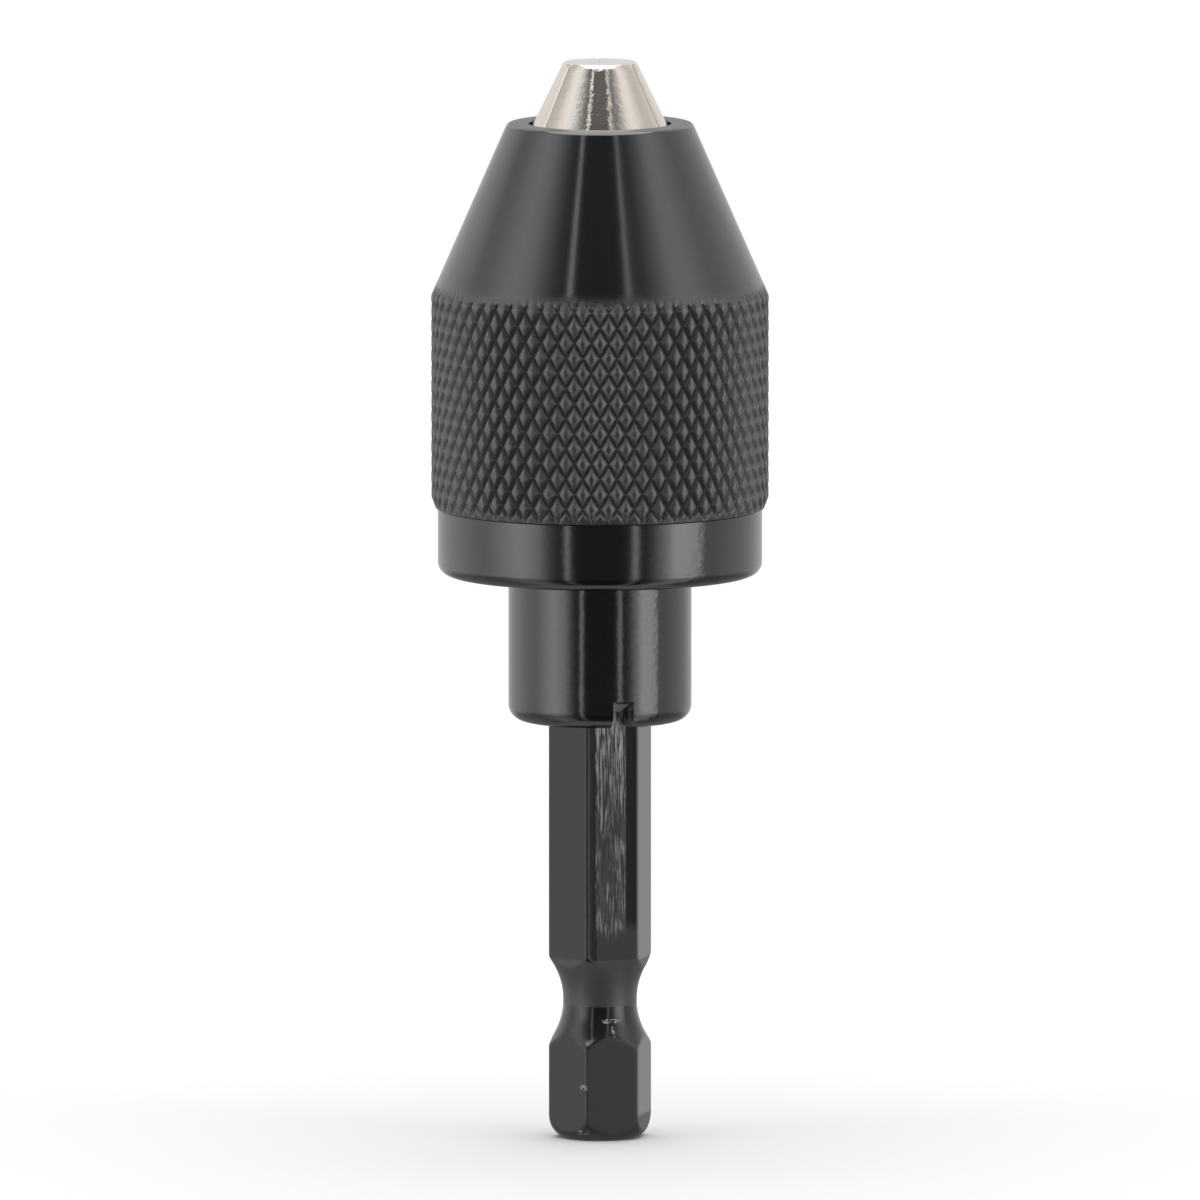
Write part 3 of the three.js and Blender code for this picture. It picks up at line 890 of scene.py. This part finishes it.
def sector_section(radius, slit):
    """The outline of a third of a disc: two straight sides set back by half a slit from the
    planes between the jaws, and an arc whose ends are chamfered towards the sides."""
    half = math.pi / JAW_COUNT
    side = np.array([math.cos(half), -math.sin(half)])
    apex = np.array([slit / 2 / math.sin(half), 0])
    along = math.sqrt(radius ** 2 - (slit / 2) ** 2) - slit / 2 / math.tan(half)
    corner = apex + side * along
    bearing = math.atan2(corner[1], corner[0]) + JAW_EDGE_WIDTH / radius
    angle = np.linspace(bearing, -bearing, JAW_ARC_POINTS)[:, None]
    rim = radius * np.concatenate([np.cos(angle), np.sin(angle)], 1)
    near = apex + side * JAW_POINT_CHAMFER
    first = side_points(near, corner - side * JAW_EDGE_DEPTH, JAW_SIDE_POINTS)
    return np.concatenate([first, rim, first[::-1] * [1, -1]])


def make_jaw(index, body, material):
    """One jaw, lofted through level outlines: foot, neck, body, cone and chamfered tip."""
    foot_bottom = jaw_low[2]
    foot_top = foot_bottom + FOOT_HEIGHT
    inner = (FOOT_WIDTH / 2 + JAW_SLIT) / math.tan(math.pi / JAW_COUNT) + FOOT_SETBACK
    outer = carrier_radius - CARRIER_RIM - JAW_TRAVEL
    tangent = math.tan(JAW_HALF_ANGLE)
    cone_start = nose_top - (JAW_BODY_RADIUS - JAW_NOSE_RADIUS) / tangent
    cone_end = jaw_top - JAW_TIP_CHAMFER
    tip_radius = JAW_BODY_RADIUS - (cone_end - cone_start) * tangent
    sections = [
        (foot_bottom, block_section(inner, outer, FOOT_WIDTH)),
        (foot_top, block_section(inner, outer, FOOT_WIDTH)),
        (foot_top, block_section(inner, outer, NECK_WIDTH)),
        (jaw_bottom, block_section(inner, outer, NECK_WIDTH)),
        (jaw_bottom, sector_section(JAW_BODY_RADIUS - FOOT_CHAMFER, JAW_SLIT)),
        (jaw_bottom + FOOT_CHAMFER, sector_section(JAW_BODY_RADIUS, JAW_SLIT)),
    ]
    for height in np.linspace(cone_start, cone_end, JAW_CONE_ROWS):
        radius = JAW_BODY_RADIUS - (height - cone_start) * tangent
        sections.append((height, sector_section(radius, JAW_SLIT)))
    tip = sector_section(tip_radius - JAW_TIP_CHAMFER, JAW_SLIT + JAW_TIP_CHAMFER)
    sections.append((jaw_top, tip))
    turn = -math.pi / 2 + JAW_FACING + index * TAU / JAW_COUNT
    ahead = np.array([math.cos(turn), math.sin(turn)])
    across = np.array([-math.sin(turn), math.cos(turn)])
    rows = []
    for height, section in sections:
        flat = section[:, :1] * ahead + section[:, 1:] * across
        rows.append(np.column_stack([flat, np.full(len(flat), height)]))
    points = np.array(rows)
    levels, count = points.shape[:2]
    faces = grid_faces(levels, count).tolist()
    faces.append(list(range(count))[::-1])
    faces.append(list(range((levels - 1) * count, levels * count)))
    return finish_piece(f"{body}_segment", points, faces, body, [f"jaw_{index + 1}"],
                        material, sharp=25)


# ---- Bearing ----


def make_washer(name, inner, node, material):
    """A flat washer with small fillets, from an inner radius out to its node's own size."""
    low, high = span(node)
    line = outline([
        (inner, low[2], WASHER_ROUND), (high[0], low[2], WASHER_ROUND),
        (high[0], high[2], WASHER_ROUND), (inner, high[2], WASHER_ROUND),
    ], WASHER_ARC_STEPS)
    return turned_piece(name, line, WASHER_COLUMNS, "sleeve_body", [node],
                        material)


def make_ball(index, material):
    """One ball: rows of latitude from the bottom pole to the top one, about its own middle."""
    node = f"bearing_ball_{index:02d}"
    low, high = span(node)
    latitude = np.linspace(-90, 90, BALL_ROWS) * DEG
    line = np.stack([ball_radius * np.cos(latitude), ball_radius * np.sin(latitude)], 1)
    line[[0, -1], 0] = 0
    points = around(line[:, :1], line[:, 1:], ring_of(BALL_COLUMNS)[None, :]) + (low + high) / 2
    faces = grid_faces(BALL_ROWS, BALL_COLUMNS).tolist()
    return finish_piece(f"race_ball_{index:02d}", points, faces, "bearing", [node],
                        material)


# ---- Making ----

nickel = jaw_nickel()
race_steel = bare_metal("polished_race_steel", RACE_STEEL, 0.16, 0.002)
cage_brass = bare_metal("cage_brass", BRASS, 0.3, 0.004)
carrier_steel = bare_metal("machined_carrier_steel", CARRIER_STEEL, 0.34, 0.006)

make_sleeve(knurl_black())
make_rear_ring(ring_black())
make_hub(hub_black())
make_shank(shank_black())
for index, body in enumerate(("jaw_front", "jaw_right", "jaw_left")):
    make_jaw(index, body, nickel)
make_washer("rear_race", hub_passage, "rear_race_washer", race_steel)
make_washer("front_race", stub_radius + TURNING_GAP, "front_thrust_washer", race_steel)
for index in range(1, BALL_COUNT + 1):
    make_ball(index, race_steel)
for node, material in (("jaw_carrier", carrier_steel), ("ball_cage", cage_brass)):
    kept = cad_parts[node]
    kept.data.materials.clear()
    kept.data.materials.append(material)

# ---- Floor, light and camera ----


def pale_floor():
    """A plain square floor that the chuck's gloss doesn't show."""
    mesh = bpy.data.meshes.new("pale_floor")
    reach = FLOOR_REACH * MM
    corners = [(-reach, -reach, 0), (reach, -reach, 0), (reach, reach, 0), (-reach, reach, 0)]
    mesh.from_pydata(corners, [], [(0, 1, 2, 3)])
    mesh.materials.append(Finish("pale_floor", FLOOR_COLOUR, 0.9).material)
    sheet = bpy.data.objects.new("pale_floor", mesh)
    sheet.visible_glossy = False
    bpy.context.scene.collection.objects.link(sheet)
    return sheet


def light_tent():
    """A round white tent: dark in front of the chuck where the opening is, bright on both sides.

    Its brightness depends on the bearing from the opening, with one set of bands for the walls
    and one for the slope above them. It evens out overhead, and is dimmer under the horizon.
    The heights are the sine of the elevation. The camera sees plain white."""
    world = bpy.data.worlds.new("light_tent")
    world.use_nodes = True
    bpy.context.scene.world = world
    tent = Sheet(world.node_tree)
    tent.tree.nodes.clear()
    ahead = (math.sin(VIEW_BEARING), -math.cos(VIEW_BEARING), 0)
    right = (math.cos(VIEW_BEARING), math.sin(VIEW_BEARING), 0)
    way = tent.node("ShaderNodeTexCoord", output="Generated")
    towards = tent.node("ShaderNodeVectorMath", {"operation": "DOT_PRODUCT"}, [way, ahead],
                        output="Value")
    aside = tent.node("ShaderNodeVectorMath", {"operation": "DOT_PRODUCT"}, [way, right],
                      output="Value")
    up = tent.node("ShaderNodeSeparateXYZ", {}, [way], output=2)
    bearing = aside.math("ARCTAN2", towards) / TAU + 0.5
    walls = []
    for bands in (TENT_WALL, TENT_UPPER):
        stops = [(degrees / 360 + 0.5, np.multiply(tint, level / TENT_PEAK))
                 for degrees, level, tint in bands]
        walls.append(tent.node("ShaderNodeValToRGB", {"stops": stops}, [bearing]))
    straight_down = up.step(*TENT_FOOT)
    wall = tent.mix(up.step(*TENT_RISE), *walls)
    roofed = tent.mix(up.step(*TENT_CROWN), wall, [TENT_TOP / TENT_PEAK] * 3)
    whole = tent.mix(straight_down, roofed, [TENT_FLOOR / TENT_PEAK] * 3)
    shade = up.step(*TENT_SINK) * (1 - TENT_BELOW) + TENT_BELOW
    strength = shade.math("MAXIMUM", straight_down) * TENT_PEAK
    tent_light = tent.node("ShaderNodeBackground", {}, {"Color": whole, "Strength": strength})
    plain = tent.node("ShaderNodeBackground", {}, {"Color": (*WHITE, 1), "Strength": 1.0})
    seen = tent.node("ShaderNodeLightPath", output="Is Camera Ray")
    both = tent.node("ShaderNodeMixShader", {}, [seen, tent_light, plain])
    tent.node("ShaderNodeOutputWorld", {}, [both], output=None)


def overhead_light():
    """A wide, soft light from straight above."""
    light = bpy.data.lights.new("soft_overhead", "SUN")
    light.angle = OVERHEAD_SPREAD
    light.energy = OVERHEAD_POWER
    lamp = bpy.data.objects.new("soft_overhead", light)
    bpy.context.scene.collection.objects.link(lamp)


def studio_camera():
    """A long lens far from the chuck, a little above its middle."""
    view = bpy.data.cameras.new("studio_camera")
    view.sensor_width = SENSOR_WIDTH
    view.lens = LENS
    view.clip_end = CAMERA_REACH * MM
    camera = bpy.data.objects.new("studio_camera", view)
    back = Vector((math.sin(VIEW_BEARING) * math.cos(VIEW_HEIGHT),
                   -math.cos(VIEW_BEARING) * math.cos(VIEW_HEIGHT), math.sin(VIEW_HEIGHT)))
    camera.location = (Vector((0, 0, AIM_HEIGHT)) + back * CAMERA_DISTANCE) * MM
    camera.rotation_mode = "QUATERNION"
    camera.rotation_quaternion = (-back).to_track_quat("-Z", "Y")
    bpy.context.scene.collection.objects.link(camera)
    return camera


floor = pale_floor()
light_tent()
overhead_light()
bpy.context.scene.camera = studio_camera()
bpy.context.scene.view_settings.view_transform = "Standard"
